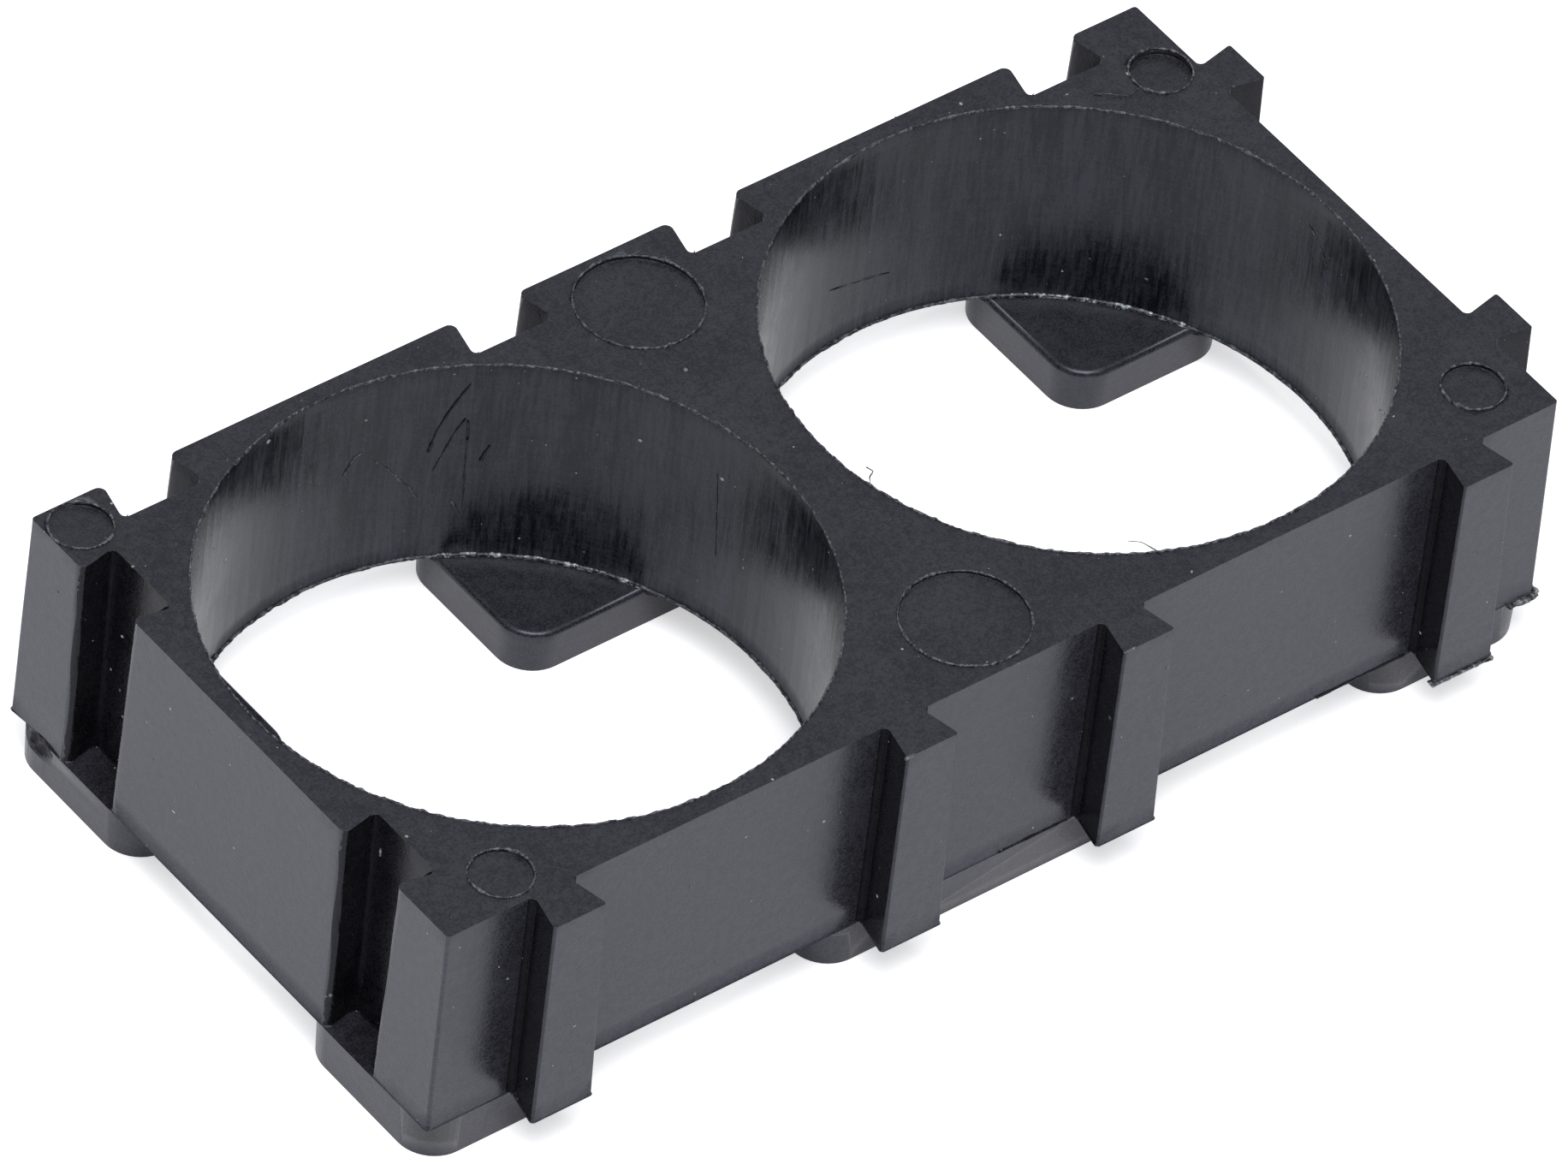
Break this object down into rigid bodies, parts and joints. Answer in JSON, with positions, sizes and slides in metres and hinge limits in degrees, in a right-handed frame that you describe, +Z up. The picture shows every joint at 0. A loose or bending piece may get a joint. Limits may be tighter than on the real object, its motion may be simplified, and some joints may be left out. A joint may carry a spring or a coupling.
{
  "type": "battery cell holder bracket",
  "caption": "Black one-piece moulded holder for two 18650-size cells, with dovetails to join more holders.",
  "frame": {"origin": "middle of the overall box, on the plane that the feet stand on", "axes": "+X along the two cells, towards the end with the ribs; +Y across, towards the side with the grooves; +Z up, the way a cell is lifted out"},
  "size_m": [0.0416, 0.0214, 0.0092],
  "materials": {
    "body": "satin"
  },
  "bodies": {
    "root": {"cell_holder": "body"}
  },
  "joints": []
}
